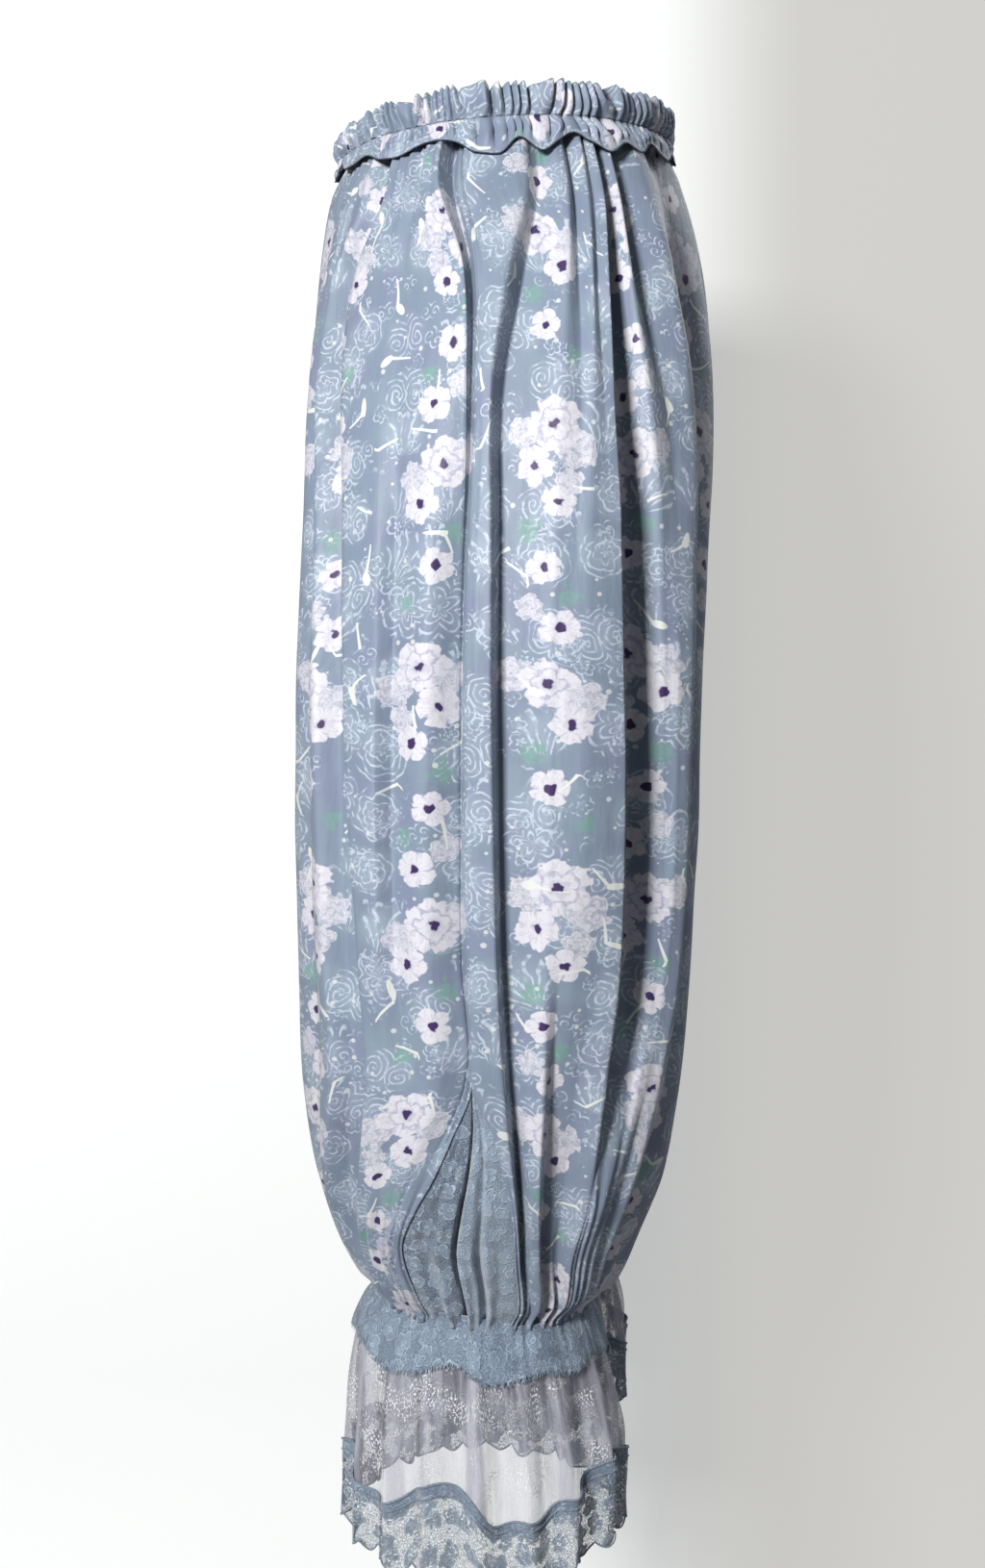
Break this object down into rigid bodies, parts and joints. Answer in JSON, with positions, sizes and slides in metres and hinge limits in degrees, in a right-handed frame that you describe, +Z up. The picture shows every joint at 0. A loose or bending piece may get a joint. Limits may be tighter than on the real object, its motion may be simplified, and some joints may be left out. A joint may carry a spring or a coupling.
{
  "type": "bloomer pants",
  "caption": "Full-length gathered bloomers in floral satin, with ruched elastic waist, lace side inserts, lace cuffs and sheer lace-edged flounces, as worn.",
  "frame": {"origin": "middle of the waist opening, level with the waist elastic", "axes": "+Z up along the legs to the waist, -Y the garment's front, +X the wearer's left"},
  "size_m": [0.4234, 0.2486, 0.8714],
  "materials": {
    "print_satin": "light floral satin, soft sheen",
    "ruched_satin": "light floral satin, ruched on elastic",
    "lace": "corded floral lace, matt",
    "sheer_mesh": "sheer mesh with a silvery glint"
  },
  "bodies": {
    "root": {"left_leg_front": "print_satin", "left_leg_back": "print_satin", "right_leg_front": "print_satin", "right_leg_back": "print_satin", "left_godet": "lace", "right_godet": "lace", "waist_frill": "ruched_satin", "waist_casing": "ruched_satin", "left_flounce": "sheer_mesh", "right_flounce": "sheer_mesh", "left_cuff_lace": "lace", "right_cuff_lace": "lace", "left_hem_lace": "lace", "right_hem_lace": "lace"}
  },
  "joints": []
}
